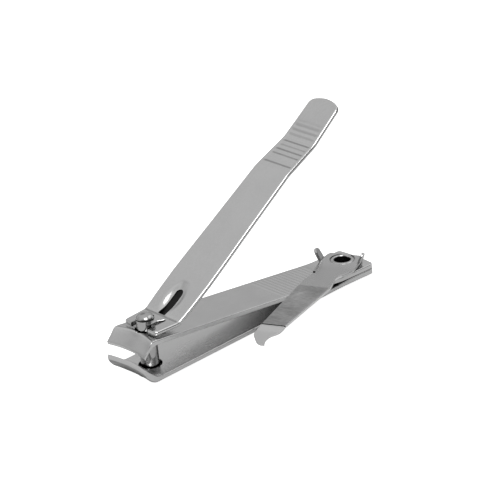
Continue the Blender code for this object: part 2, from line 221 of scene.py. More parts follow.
# Distance from the rivet along the file, its near edge and its far edge
FILE_OUTLINE = (
    (-3.2, -4.2, 4.4), (-3.0, -4.6, 4.8), (-2.2, -4.9, 5.15), (0.0, -5.2, 5.5), (2.6, -5.4, 5.5),
    (6.2, -5.4, 5.4), (8.0, -5.3, 5.2), (9.6, -4.8, 4.8), (11.0, -3.9, 4.4), (12.6, -3.4, 4.3),
    (14.2, -3.3, 4.4), (16.2, -3.55, 4.6), (18.0, -3.9, 4.65), (20.7, -4.3, 4.55), (23.0, -4.35, 4.4),
    (36.0, -3.85, 3.75), (50.8, -3.4, 3.05), (51.6, -3.5, 3.05), (53.0, -3.6, 3.0), (54.6, -3.6, 2.9),
    (56.0, -3.3, 2.8), (57.2, -2.7, 2.6), (58.4, -2.25, 2.2), (59.6, -2.1, 1.6), (61.0, -2.15, 0.8),
    (62.4, -2.4, 0.0), (63.4, -2.68, -0.8), (64.0, -2.93, -1.6), (64.2, -2.9, -2.1),
)
TOOTH_ZONE = (21.3, 50.6)
TOOTH_PITCH = 0.52
TOOTH_HEIGHT = 0.035
TOOTH_WAVER = 0.12
# Its station, half its width and its depth
STOP_GROOVE = (51.0, 0.45, 0.25)
# A blind pocket in the file's base, painted black inside: a painted shadow under the bent-up edge by the ear.
POCKET = ((-11.5, 3.5), (-10.1, 3.85), (-10.1, 4.95), (-11.5, 4.9))
POCKET_STATION = 10.5
POCKET_FLOOR = 0.35
# The ears by side, 1 for +Y and -1 for -Y
EAR_STATIONS = {1: 1.5, -1: 0.5}
EAR_HALF_WIDTH = 1.45
EAR_HEIGHTS = {1: 3.2, -1: 2.4}
EAR_LEANS = {1: radians(27.0), -1: radians(20.0)}
EAR_ROOT_Y = 4.0
EAR_REACH = 0.9
EAR_BEND_RADIUS = 0.7
EAR_TAPER = 0.12


# Tools --------------------------------------------------------------------------------------------


def smooth_step(value):
    value = max(0.0, min(1.0, value))
    return value * value * (3 - 2 * value)


def between(table, value):
    """The table's value by straight lines between its (place, value) rows, and its last one past the end."""
    for (a, first), (b, second) in zip(table, table[1:]):
        if value <= b:
            return first + (second - first) * (value - a) / (b - a)
    return table[-1][1]


def ramp(value, softness):
    """A rounded version of max(0, value)."""
    v = value / softness
    return softness * (max(v, 0.0) + log1p(exp(-abs(v))))


def evenly(start, end, step):
    """Equally spaced values from start to end, about one step apart."""
    count = max(1, round(abs(end - start) / step))
    return [start + (end - start) * k / count for k in range(count + 1)]


def curve_through(points, pieces):
    """A smooth curve through the points, each span in equal pieces."""
    found = []
    last = len(points) - 1
    for i in range(last):
        near = (points[max(i - 1, 0)], points[i], points[i + 1], points[min(i + 2, last)])
        for k in range(pieces):
            t = k / pieces
            found.append(tuple(
                b + 0.5 * t * (c - a + t * (2 * a - 5 * b + 4 * c - d + t * (3 * (b - c) + d - a)))
                for a, b, c, d in zip(*near)
            ))
    found.append(tuple(points[-1]))
    return found


def inset(outline, distance, keen=None, ease=4.0):
    """The closed outline of (x, z) points moved in by distance, and by less within ease of the keen edge."""
    count = len(outline)
    area = sum(
        x0 * z1 - x1 * z0 for (x0, z0), (x1, z1) in zip(outline, outline[1:] + outline[:1])
    )
    turn = 1 if area > 0 else -1
    normals = []
    for i, (x, z) in enumerate(outline):
        to_x, to_z = outline[(i + 1) % count]
        length = hypot(to_x - x, to_z - z) or 1.0
        normals.append((-turn * (to_z - z) / length, turn * (to_x - x) / length))
    moved = []
    for i, (x, z) in enumerate(outline):
        (ax, az), (bx, bz) = normals[i - 1], normals[i]
        scale = distance / max(0.4, 1 + ax * bx + az * bz)
        if keen:
            scale *= smooth_step(hypot(x - keen[0], z - keen[1]) / ease)
        moved.append((x + (ax + bx) * scale, z + (az + bz) * scale))
    return moved


def rounding(radius, steps=4):
    """(how far in from the face, how far the section shrinks) over a quarter circle, ending on the face."""
    turns = [pi / 2 * k / steps for k in range(steps + 1)]
    return [(radius * (1 - sin(turn)), radius * (1 - cos(turn))) for turn in turns]


def grid_body(name, rows, loop=False):
    """A closed body through equal rings of points. With loop, the last ring joins the first: no end caps."""
    shape = bmesh.new()
    rings = [[shape.verts.new(Vector(point) * MM) for point in ring] for ring in rows]
    count = len(rings[0])
    follow = rings[1:] + rings[:1] if loop else rings[1:]
    for first, second in zip(rings, follow):
        for i in range(count):
            j = (i + 1) % count
            shape.faces.new((first[i], first[j], second[j], second[i]))
    if not loop:
        shape.faces.new(rings[0])
        shape.faces.new(list(reversed(rings[-1])))
    bmesh.ops.recalc_face_normals(shape, faces=shape.faces)
    mesh = bpy.data.meshes.new(name)
    shape.to_mesh(mesh)
    shape.free()
    obj = bpy.data.objects.new(name, mesh)
    bpy.context.scene.collection.objects.link(obj)
    return obj


def turned(name, profile, steps=96, loop=False):
    """The (radius, height) profile turned round Z."""
    rows = []
    for radius, height in profile:
        rows.append([
            (radius * cos(2 * pi * k / steps), radius * sin(2 * pi * k / steps), height) for k in range(steps)
        ])
    return grid_body(name, rows, loop)


def prism(name, outline, low, high):
    """The (x, y) outline drawn up from low to high."""
    return grid_body(name, [[(x, y, z) for x, y in outline] for z in (low, high)])


def combine(obj, others, operation="DIFFERENCE"):
    """Cuts or joins the other bodies, then removes them."""
    for other in others:
        modifier = obj.modifiers.new(other.name, "BOOLEAN")
        modifier.operation = operation
        modifier.solver = "EXACT"
        modifier.object = other
    settle(obj)
    for other in others:
        bpy.data.objects.remove(other, do_unlink=True)


def settle(obj):
    """Makes the modifiers' result the object's own mesh."""
    graph = bpy.context.evaluated_depsgraph_get()
    mesh = bpy.data.meshes.new_from_object(obj.evaluated_get(graph))
    obj.modifiers.clear()
    obj.data = mesh


def finish(obj, material, body, node, regions):
    """Shades the piece and hangs it on its CAD body in place of its CAD node.

    Each region is a material and a test of a face's middle, in the piece's own millimetres, and its normal.
    A later region wins over an earlier one.
    """
    obj.data.materials.clear()
    obj.data.materials.append(material)
    for face in obj.data.polygons:
        face.material_index = 0
    for index, (other, belongs) in enumerate(regions):
        obj.data.materials.append(other)
        for face in obj.data.polygons:
            if belongs(face.center / MM, face.normal):
                face.material_index = index + 1
    obj.data.transform(obj.matrix_world)
    obj.matrix_world = Matrix.Identity(4)
    obj.data.shade_smooth()
    obj.data.set_sharp_from_angle(angle=SHARP_ANGLE)
    weights = obj.modifiers.new("Even shading", "WEIGHTED_NORMAL")
    weights.keep_sharp = True
    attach(obj, body)
    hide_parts(node)


# Materials ----------------------------------------------------------------------------------------


def add_node(tree, kind, inputs=None, **settings):
    """A node with its settings made, and its inputs set to constants or linked to other nodes' outputs."""
    node = tree.nodes.new(kind)
    for key, value in settings.items():
        setattr(node, key, value)
    for key, value in (inputs or {}).items():
        if isinstance(value, bpy.types.NodeSocket):
            tree.links.new(value, node.inputs[key])
        else:
            node.inputs[key].default_value = value
    return node


def mixed_colours(tree, share, first, second):
    """The first colour where share is 0 and the second where it is 1. The numbers are the colour sockets."""
    return add_node(tree, "ShaderNodeMix", {0: share, 6: first, 7: second}, data_type="RGBA").outputs[2]


def steel(name, tone, roughness, grain_scale, grain_depth, turn=0.0, contrast=0.045, cross=False, gap_shade=1.0):
    """Steel with drawn grain along turn, faint clouding of tone and roughness, and optional cross-cut teeth.

    The tone darkens, down to the given share, towards the closed end of the gap between the blades: painted
    shade in the gap.
    """
    material = bpy.data.materials.new(name)
    material.use_nodes = True
    tree = material.node_tree
    tree.nodes.clear()
    place = add_node(tree, "ShaderNodeTexCoord").outputs["Object"]
    along = add_node(tree, "ShaderNodeMapping", {
        "Vector": place, "Rotation": (0.0, 0.0, turn),
    }).outputs["Vector"]
    stretch = add_node(tree, "ShaderNodeMapping", {"Vector": along, "Scale": grain_scale}).outputs["Vector"]
    grain = add_node(tree, "ShaderNodeTexNoise", {
        "Vector": stretch, "Scale": 1.0, "Detail": 4.0,
    }).outputs["Fac"]
    cloud = add_node(tree, "ShaderNodeTexNoise", {
        "Vector": place, "Scale": CLOUD_SCALE, "Detail": 3.0,
    }).outputs["Fac"]
    mixed = add_node(tree, "ShaderNodeMath", {0: grain, 1: cloud}, operation="ADD").outputs["Value"]
    colour = add_node(tree, "ShaderNodeMapRange", {
        "Value": mixed, "From Min": 0.6, "From Max": 1.4,
        "To Min": tone * (1 - contrast), "To Max": tone * (1 + contrast),
    }).outputs["Result"]
    # Painted shade: the tone darkens along X towards the closed end of the gap between the blades.
    if gap_shade < 1.0:
        towards_tail = add_node(tree, "ShaderNodeSeparateXYZ", {"Vector": place}).outputs["X"]
        share = add_node(tree, "ShaderNodeMapRange", {
            "Value": towards_tail, "From Min": GAP_SHADE_FROM * MM, "From Max": GAP_SHADE_TO * MM,
            "To Min": 1.0, "To Max": gap_shade,
        }).outputs["Result"]
        colour = add_node(tree, "ShaderNodeMath", {
            0: colour, 1: share,
        }, operation="MULTIPLY").outputs["Value"]
    tint = add_node(tree, "ShaderNodeCombineColor", {
        "Red": colour, "Green": colour, "Blue": colour,
    }).outputs["Color"]
    spread = min(MOST_SPREAD, ROUGHNESS_SPREAD * contrast)
    rough = add_node(tree, "ShaderNodeMapRange", {
        "Value": mixed, "From Min": 0.5, "From Max": 1.5,
        "To Min": roughness * (1 - spread), "To Max": roughness * (1 + spread),
    }).outputs["Result"]
    normal = add_node(tree, "ShaderNodeBump", {
        "Height": grain, "Strength": 1.0, "Distance": grain_depth,
    }).outputs["Normal"]
    if cross:
        for slant in (CUT_SLANT, -CUT_SLANT):
            turned_place = add_node(tree, "ShaderNodeMapping", {
                "Vector": along, "Rotation": (0.0, 0.0, slant),
            }).outputs["Vector"]
            cuts = add_node(tree, "ShaderNodeTexWave", {
                "Vector": turned_place, "Scale": CUT_SCALE, "Distortion": 1.4,
                "Detail": 2.0, "Detail Scale": 2.0,
            }, bands_direction="X").outputs["Fac"]
            normal = add_node(tree, "ShaderNodeBump", {
                "Height": cuts, "Normal": normal, "Strength": 0.8, "Distance": CUT_DEPTH,
            }).outputs["Normal"]
    shader = add_node(tree, "ShaderNodeBsdfPrincipled", {
        "Base Color": tint, "Metallic": 1.0, "Roughness": rough, "Normal": normal,
    })
    output = add_node(tree, "ShaderNodeOutputMaterial", {"Surface": shader.outputs["BSDF"]})
    output.is_active_output = True
    return material


# Blades -------------------------------------------------------------------------------------------


def half_width(x):
    share = (x - BODY_TOP_FRONT[0]) / (TAIL_X - BODY_TOP_FRONT[0])
    return HALF_WIDTH_FRONT + (HALF_WIDTH_TAIL - HALF_WIDTH_FRONT) * share


def lower_outer(x):
    """Height of the lower blade's underside."""
    return FOOT_CLEARANCE - ramp(x - BEND_X, BEND_SOFTNESS) * tan(TAIL_DROP)


def upper_outer(x):
    """Height of the upper blade's top face."""
    base = FOOT_CLEARANCE + 2 * BLADE_SHEET + BLADE_GAP
    slope = (BODY_TOP_FRONT[1] - base) / (BEND_X - BODY_TOP_FRONT[0])
    rise = (slope - tan(TAIL_DROP)) * ramp(BEND_X - x, BEND_SOFTNESS)
    return base - (x - BEND_X) * tan(TAIL_DROP) + rise


def rib(x):
    """Height of the fine ribs across the upper blade's top face."""
    k = (x - RIB_FIRST) / RIB_PITCH
    if k < -0.5 or k > RIB_COUNT - 0.5:
        return 0.0
    return RIB_HEIGHT * cos(pi * k) ** 2


def tail_end(side, x):
    """How far the tail's end is set forward, which makes it bulge and rounds its two corners."""
    y = abs(side) * half_width(x)
    past = min(TAIL_CORNER, y - (half_width(x) - TAIL_CORNER))
    corner = TAIL_CORNER - sqrt(TAIL_CORNER**2 - past**2) if past > 0 else 0.0
    return corner + TAIL_BULGE * side * side


def blade_body(name, outline, keen, hollows, ribbed=False):
    """The side profile swept across the width with rounded side edges, a hollow front and a bulging tail."""
    inner_half = 14
    edges = rounding(BLADE_ROUND)
    rings = [(-1, in_by, shrink) for in_by, shrink in reversed(edges)]
    rings += [(k / inner_half, None, 0.0) for k in range(1 - inner_half, inner_half)]
    rings += [(1, in_by, shrink) for in_by, shrink in edges]
    rows = []
    for sign, in_by, shrink in rings:
        section = inset(outline, shrink, keen) if shrink else outline
        row = []
        for x, z in section:
            w = half_width(x)
            y = sign * (w - BLADE_ROUND) if in_by is None else sign * (w - in_by)
            side = y / w
            crown = 1 - side * side
            moved = x + crown * between(hollows, z) * smooth_step((HOLLOW_FROM - x) / HOLLOW_REACH)
            moved -= tail_end(side, x) * max(0.0, (x - TAIL_ROUND_FROM) / (TAIL_X - TAIL_ROUND_FROM))
            lift = 0.0
            if ribbed and z > upper_outer(x) - 0.5:
                lift = rib(x) * smooth_step((w - RIB_MARGIN - abs(y)) / RIB_FADE)
            row.append((moved, y, z + lift))
        rows.append(row)
    return grid_body(name, rows)


def blade_stations(fine):
    """Places along the blade from the tail to the jaw, and close enough for the ribs if fine."""
    back = evenly(TAIL_X, BEND_X + 3, 1.1) + evenly(BEND_X + 3, BEND_X - 3, 0.5)[1:]
    if fine:
        ribs = RIB_FIRST - RIB_PITCH
        return back + evenly(BEND_X - 3, ribs, RIB_PITCH / 8)[1:] + evenly(ribs, -2.0, 2.2)[1:]
    return back + evenly(BEND_X - 3, -2.0, 2.2)[1:]


def tail_closing(x):
    """How much thicker the lower blade is towards the tail."""
    return max(0.0, TAIL_CLOSING - PRESS_ROOM * max(0.0, RIVET_X - x))


def lower_outline():
    outer = [(x, lower_outer(x)) for x in blade_stations(False)]
    jaw = [(-2.0, 1.0), (-3.4, 1.0), (-4.4, 1.12), (-5.2, 1.43), (-6.0, 1.95), (-6.7, 2.6), (-7.3, 3.4)]
    outer += curve_through(jaw + [(-7.63, 4.2), (-7.7, 4.95)], 4)[1:] + [LOWER_EDGE]
    inner = [(-7.0, 5.32), (-6.2, 4.6), (-5.3, 3.8), (-4.3, 3.05), (-3.3, 2.52), (-2.0, 2.3)]
    stations = list(reversed(blade_stations(False)))
    return outer + curve_through(inner, 4) + [
        (x, lower_outer(x) + BLADE_SHEET + tail_closing(x)) for x in stations[1:]
    ]


def upper_outline():
    outer = [(x, upper_outer(x)) for x in blade_stations(True)]
    shoulder = [(x, upper_outer(x)) for x in (-2.0, -3.3)]
    shoulder += [(-4.1, 12.46), (-4.7, 12.22), (-5.2, 11.73)]
    front = [(-5.2, 11.73), (-6.1, 10.62), (-7.1, 9.45)]
    outer += curve_through(shoulder, 5)[1:] + curve_through(front, 3)[1:]
    outer += [(-7.26, 9.2), UPPER_EDGE]
    inner = [(-6.7, 8.98), (-6.0, 9.62), (-5.2, 10.18), (-4.2, 10.62), (-3.1, 10.98), (-2.0, 10.99)]
    stations = list(reversed(blade_stations(False)))
    front_slope, tail_slope = UPPER_SLOPES
    under = [
        (x, upper_outer(x) - BLADE_SHEET / cos(front_slope if x < BEND_X else tail_slope))
        for x in stations[1:]
    ]
    return outer + curve_through(inner, 4) + under


def tail_frame():
    """The rivet's axis: local Z runs up it from the lower blade's underside."""
    foot = FOOT_CLEARANCE - (RIVET_X - BEND_X) * tan(TAIL_DROP)
    return Matrix.Translation(Vector((RIVET_X, 0, foot)) * MM) @ Matrix.Rotation(TAIL_DROP, 4, "Y")


def blade_holes(post_hole_radius):
    post_hole = turned("post_hole", [(post_hole_radius, -5), (post_hole_radius, 20)])
    rivet_hole = turned("rivet_hole", [(RIVET_HOLE_RADIUS, -5), (RIVET_HOLE_RADIUS, 10)])
    rivet_hole.matrix_world = tail_frame()
    bpy.context.view_layer.update()
    return [post_hole, rivet_hole]


def make_blades(material, inside_shaded_steel, belly_painted_shade, painted_shadow):
    # The post hole's wall in each blade is painted black as shadow.
    def in_hole(middle, normal):
        return hypot(middle.x, middle.y) < POST_HOLE_RADIUS + 0.05 and abs(normal.z) < 0.5

    # Inner faces get the steel whose tone darkens towards the tail as painted shade.
    def lower_inside(middle, normal):
        return normal.z > 0.3 and LOWER_INSIDE_FROM < middle.x < INSIDE_TO

    # The lower jaw's downward faces, painted darker as shade.
    def jaw_belly(middle, normal):
        return normal.z < -0.15 and middle.x < BELLY_SHADE_TO

    def upper_inside(middle, normal):
        return normal.z < -0.3 and UPPER_INSIDE_FROM < middle.x < INSIDE_TO

    lower = blade_body("lower_blade_shell", lower_outline(), LOWER_EDGE, LOWER_HOLLOWS)
    combine(lower, blade_holes(POST_HOLE_RADIUS))
    regions = [(inside_shaded_steel, lower_inside), (belly_painted_shade, jaw_belly), (painted_shadow, in_hole)]
    finish(lower, material, "lower_body", "lower_blade", regions=regions)
    upper = blade_body("upper_blade_shell", upper_outline(), UPPER_EDGE, UPPER_HOLLOWS, ribbed=True)
    combine(upper, blade_holes(UPPER_HOLE_RADIUS))
    regions = [(inside_shaded_steel, upper_inside), (painted_shadow, in_hole)]
    finish(upper, material, "upper_body", "upper_blade", regions=regions)


# Post ---------------------------------------------------------------------------------------------


def make_post(material, painted_shadow):
    r = POST_RADIUS
    dome = [(0.05, POST_TOP), (0.7, POST_TOP - 0.06), (1.35, POST_TOP - 0.24), (1.9, POST_TOP - 0.54)]
    dome += [(2.27, POST_TOP - 0.9), (r, POST_TOP - 1.2)]
    profile = curve_through(dome, 4)
    profile += [(r - 0.2, POST_TOP - 1.3), (r - 0.2, POST_TOP - 1.45), (r, POST_TOP - 1.55)]
    inside_face = FOOT_CLEARANCE + BLADE_SHEET
    profile += [(r, inside_face - 0.05), (r, FOOT_THICKNESS + 0.5), (r + 0.05, FOOT_THICKNESS + 0.25)]
    profile += [(r + 0.2, FOOT_THICKNESS + 0.06), (r + 0.35, FOOT_THICKNESS)]
    profile += [(FOOT_RADIUS - 0.2, FOOT_THICKNESS)]
    profile += [(FOOT_RADIUS - 0.05, FOOT_THICKNESS - 0.06), (FOOT_RADIUS, FOOT_THICKNESS - 0.2)]
    profile += [(FOOT_RADIUS, 0.18), (FOOT_RADIUS - 0.05, 0.06), (FOOT_RADIUS - 0.18, 0.0), (0.05, 0.0)]
    post = turned("post_turning", profile)
    low, high = NOTCH_Z
    notch = prism("notch", [(NOTCH_X, -4), (6, -4), (6, 4), (NOTCH_X, 4)], low, high)
    combine(post, [notch])

    # Painted shadow: the post inside the lower blade's hole, the groove under the dome and the notch are
    # painted black.
    def in_shadow(middle, normal):
        in_lower_hole = FOOT_THICKNESS / 2 < middle.z < inside_face - 0.1
        in_neck = POST_TOP - 1.56 < middle.z < POST_TOP - 1.22
        in_notch = low - 0.05 < middle.z < high + 0.05 and hypot(middle.x, middle.y) < r - 0.1
        return in_lower_hole or in_neck or in_notch

    finish(post, material, "post", "center_post", regions=[(painted_shadow, in_shadow)])


# Lever --------------------------------------------------------------------------------------------


def rounded_path(corners, bends, step):
    """(x, z, direction, distance) along a polyline whose corners are arcs, about one step apart."""
    directions = [atan2(z1 - z0, x1 - x0) for (x0, z0), (x1, z1) in zip(corners, corners[1:])]
    found = []
    at = corners[0]
    travelled = 0.0
    for i, direction in enumerate(directions):
        last = i == len(directions) - 1
        turn = 0.0 if last else directions[i + 1] - direction
        cut = 0.0 if last else bends[i + 1] * tan(abs(turn) / 2)
        length = hypot(corners[i + 1][0] - at[0], corners[i + 1][1] - at[1]) - cut
        for along in evenly(0.0, length, step)[:-1]:
            place = (at[0] + along * cos(direction), at[1] + along * sin(direction))
            found.append((*place, direction, travelled + along))
        at = (at[0] + length * cos(direction), at[1] + length * sin(direction))
        travelled += length
        if last:
            found.append((*at, direction, travelled))
            continue
        radius = bends[i + 1] * (1 if turn > 0 else -1)
        centre = (at[0] - radius * sin(direction), at[1] + radius * cos(direction))
        for swept in evenly(0.0, turn, step / bends[i + 1])[:-1]:
            a = direction + swept
            place = (centre[0] + radius * sin(a), centre[1] - radius * cos(a))
            found.append((*place, a, travelled + abs(swept) * bends[i + 1]))
        a = directions[i + 1]
        at = (centre[0] + radius * sin(a), centre[1] - radius * cos(a))
        travelled += abs(turn) * bends[i + 1]
    return found


def ridge_height(s):
    """The thumb rest's ridges, at s along the lever's top face, each a little different in height."""
    k = (s - RIDGE_FIRST) / RIDGE_PITCH
    if k < -0.5 or k > RIDGE_COUNT - 0.5:
        return 0.0
    height = RIDGE_HEIGHT * (1 - RIDGE_VARIATION + RIDGE_VARIATION * sin(RIDGE_PHASE * round(k)))
    return height * cos(pi * k) ** 2


def dish_depth(s, y):
    """The oval dish round the slot, at s along the lever's top face."""
    near_share = smooth_step(0.5 - (y - DISH_MIDDLE) / 2)
    breadth = DISH_HALF_BREADTH + DISH_NEAR_EXTRA * near_share
    away = hypot((s - HEEL_S - DISH_CENTRE) / DISH_HALF_LENGTH, (y - DISH_MIDDLE) / breadth)
    return DISH_DEPTH * smooth_step((1.0 - away) / (DISH_WALL + DISH_NEAR_WALL * near_share))


def panel_height(s, y, w):
    """The sunk thumb panel and the ridges that stand in it."""
    end = RIDGE_FIRST + RIDGE_PITCH * RIDGE_COUNT
    inside = smooth_step((s - PANEL_START) / 0.5) * smooth_step((w - PANEL_MARGIN - abs(y)) / 0.5 + 0.5)
    fade = 1 - smooth_step((s - end + PANEL_FADE) / PANEL_FADE)
    ridges = ridge_height(s) * (RIDGE_FADED + (1 - RIDGE_FADED) * fade)
    return inside * (ridges - PANEL_DEPTH * fade)


def strip_ring(x, z, a, half, drop, shrink, height=None, across=30, corner=LEVER_ROUND):
    """One ring of a bent strip with rounded long edges. height(y, on_top) is added to both of its faces."""
    ring = []
    half = half - shrink
    corner = min(corner, drop / 2 - shrink - 0.02, half - 0.02)
    top = -shrink
    under = shrink - drop
    flat = half - corner
    round_steps = 5
    path = []
    for k in range(across + 1):
        path.append((flat * (-1 + 2 * k / across), top))
    for k in range(1, round_steps + 1):
        turn = pi / 2 * k / round_steps
        path.append((flat + corner * sin(turn), top - corner * (1 - cos(turn))))
    for k in range(round_steps + 1):
        turn = pi / 2 * k / round_steps
        path.append((flat + corner * cos(turn), under + corner * (1 - sin(turn))))
    for k in range(1, across + 1):
        path.append((flat * (1 - 2 * k / across), under))
    for k in range(1, round_steps + 1):
        turn = pi / 2 * k / round_steps
        path.append((-flat - corner * sin(turn), under + corner * (1 - cos(turn))))
    for k in range(round_steps):
        turn = pi / 2 * k / round_steps
        path.append((-flat - corner * cos(turn), top - corner * (1 - sin(turn))))
    for y, h in path:
        lift = h + (height(y, h > (top + under) / 2) if height else 0.0)
        ring.append((x - lift * sin(a), y, z + lift * cos(a)))
    return ring


def lever_rows():
    path = rounded_path(LEVER_PATH, LEVER_BENDS, 0.2)
    total = path[-1][3]
    rows = []

    def row(x, z, a, s, shrink):
        w = between(LEVER_HALF_WIDTHS, s)
        from_end = total - s
        if from_end < TIP_CORNER:
            w -= TIP_CORNER - sqrt(max(0.0, TIP_CORNER**2 - (TIP_CORNER - from_end) ** 2))
        if s < HEEL_CORNER:
            w -= HEEL_CORNER - sqrt(HEEL_CORNER**2 - (HEEL_CORNER - s) ** 2)

        def height(y, on_top):
            shadow_pocket = -dish_depth(s, y)
            if on_top:
                shadow_pocket += panel_height(s, y, w)
            return shadow_pocket

        ring = strip_ring(x, z, a, w, LEVER_SHEET, shrink, height)
        back = smooth_step((s - total + TIP_CURVE_LENGTH) / TIP_CURVE_LENGTH)
        moved = []
        for px, y, pz in ring:
            set_back = back * (TIP_RADIUS - sqrt(TIP_RADIUS**2 - y * y))
            moved.append((px - set_back * cos(a), y, pz - set_back * sin(a)))
        rows.append(moved)

    x, z, a, s = path[0]
    for in_by, shrink in reversed(rounding(LEVER_END_ROUND)):
        row(x + in_by * cos(a), z + in_by * sin(a), a, in_by, shrink)
    for x, z, a, s in path:
        if LEVER_END_ROUND + 0.1 < s < total - LEVER_END_ROUND - 0.1:
            row(x, z, a, s, 0.0)
    x, z, a, s = path[-1]
    for in_by, shrink in rounding(LEVER_END_ROUND):
        row(x - in_by * cos(a), z - in_by * sin(a), a, s - in_by, shrink)
    return rows


def mouth():
    """The opening round the post with its tongue, as a cutter that chamfers the rim of the top face."""
    m = MOUTH_HALF_WIDTH
    right = [(-9, m), (MOUTH_END_X - 0.3, m), (MOUTH_END_X, m - 0.3), (MOUTH_END_X, TONGUE_ROOT)]
    right += [TONGUE_NECK, TONGUE_FRONT]
    outline = [(x, -y) for x, y in right] + list(reversed(right))
    wide = inset(outline, -MOUTH_CHAMFER)
    top = LEVER_PATH[0][1]
    levels = ((outline, 9.0), (outline, top - MOUTH_CHAMFER), (wide, top), (wide, 19.0))
    return grid_body("mouth", [[(x, y, z) for x, y in plan] for plan, z in levels])


def make_lever(material, painted_shadow):
    lever = grid_body("lever_blank", lever_rows())
    (heel_x, heel_z), (bend_x, bend_z) = LEVER_PATH[1:3]
    heel = Vector((heel_x, 0, heel_z))
    lean = Matrix.Rotation(-atan2(bend_z - heel_z, bend_x - heel_x), 4, "Y")
    to_slope = (Matrix.Translation(heel) @ lean).inverted()
    start, end = SLOT_FROM_HEEL
    w = SLOT_HALF_WIDTH
    outline = [(start, -w)]
    outline += [(end - w + w * sin(pi * k / 16), -w * cos(pi * k / 16)) for k in range(17)]
    outline += [(start, w)]
    slot = prism("slot", [(x, y + SLOT_OFFSET) for x, y in outline], -SLOT_DEPTH, 3.0)
    slot.matrix_world = Matrix.Translation(heel * MM) @ lean
    bpy.context.view_layer.update()
    combine(lever, [slot])
    combine(lever, [mouth()])

    # The slot's walls and floor are painted black as shadow.
    def in_slot(middle, normal):
        at = to_slope @ middle
        across = abs(at.y - SLOT_OFFSET)
        level = to_slope.to_3x3() @ normal
        inside = start - 0.05 < at.x < end + 0.05 and across < w + 0.05 and -SLOT_DEPTH - 0.05 < at.z < 0.05
        return inside and (level.z < 0.7 or at.z < 0.02 - SLOT_DEPTH)

    finish(lever, material, "lever_arm", "lever", regions=[(painted_shadow, in_slot)])


# File and rivet -----------------------------------------------------------------------------------


def file_bottom():
    """Height of the file's underside at the rivet, up the rivet's axis."""
    return 2 * BLADE_SHEET + BLADE_GAP + FILE_GAP


def file_height(u):
    """How far the bend has raised the file, at u from the rivet."""
    return ramp(u - FILE_BEND_AT, FILE_BEND_SOFTNESS) * tan(FILE_BEND)


def tooth_height(u, v, left, right):
    """Cut teeth between two plain margins, and the groove that stops them."""
    start, end = TOOTH_ZONE
    at, half, depth = STOP_GROOVE
    inside = smooth_step((u - start) / 0.4) * smooth_step((end - u) / 0.4)
    inside *= smooth_step((left - 0.55 - v) / 0.3) * smooth_step((v - right - 0.35) / 0.3)
    wave = (u / TOOTH_PITCH + TOOTH_WAVER * sin(v * 2.1 + u)) % 1.0
    groove = depth * smooth_step(1 - abs(u - at) / half)
    return inside * (TOOTH_HEIGHT * (wave - 1.0) - 0.03) - groove


def file_rows():
    rows = []
    outline = curve_through(FILE_OUTLINE, 4)
    start, end = TOOTH_ZONE
    stations = []
    for first, second in zip(outline, outline[1:]):
        fine = start - 0.6 < first[0] < end + 1.2
        pieces = max(1, round((second[0] - first[0]) / (0.13 if fine else 0.7)))
        stations += [tuple(a + (b - a) * k / pieces for a, b in zip(first, second)) for k in range(pieces)]
    stations.append(outline[-1])
    for u, right, left in stations:
        thinned = smooth_step((u - FILE_THIN_FROM) / FILE_THIN_LENGTH)
        sheet = FILE_SHEET - (FILE_SHEET - FILE_TIP_SHEET) * thinned
        middle = (right + left) / 2
        half = (left - right) / 2

        def height(y, on_top, u=u, right=right, left=left, middle=middle):
            return tooth_height(u, y + middle, left, right) if on_top else 0.0

        z = file_bottom() + file_height(u) + FILE_SHEET - FILE_TIP_DROP * thinned
        ring = strip_ring(0.0, z, 0.0, half, sheet, 0.0, height, across=16, corner=FILE_ROUND)
        rows.append([(-u, y + middle, h) for _, y, h in ring])
    return rows


def ear(side):
    """A tab bent up from the side of the file's base: out along the sheet, round a bend, then up and out."""
    bend = pi / 2 - EAR_LEANS[side]
    rise = EAR_HEIGHTS[side] + 0.5
    corners = ((0.0, 0.0), (EAR_REACH, 0.0), (EAR_REACH + rise * cos(bend), rise * sin(bend)))
    rows = []
    path = rounded_path(corners, (0.0, EAR_BEND_RADIUS, 0.0), 0.2)
    total = path[-1][3]
    for x, z, a, s in path:
        half = EAR_HALF_WIDTH * (1 - EAR_TAPER * s / total)
        from_end = total - s
        if from_end < half:
            half = sqrt(max(0.02, half**2 - (half - from_end) ** 2))
        rows.append(strip_ring(x, z, a, half, FILE_SHEET * 0.9, 0.0, None, across=6, corner=0.2))
    obj = grid_body("ear", rows)
    root = Vector((-EAR_STATIONS[side], side * EAR_ROOT_Y, file_bottom() + FILE_SHEET * 0.95))
    obj.matrix_world = Matrix.Translation(root * MM) @ Matrix.Rotation(side * pi / 2, 4, "Z")
    obj.data.transform(obj.matrix_world)
    obj.matrix_world = Matrix.Identity(4)
    return obj


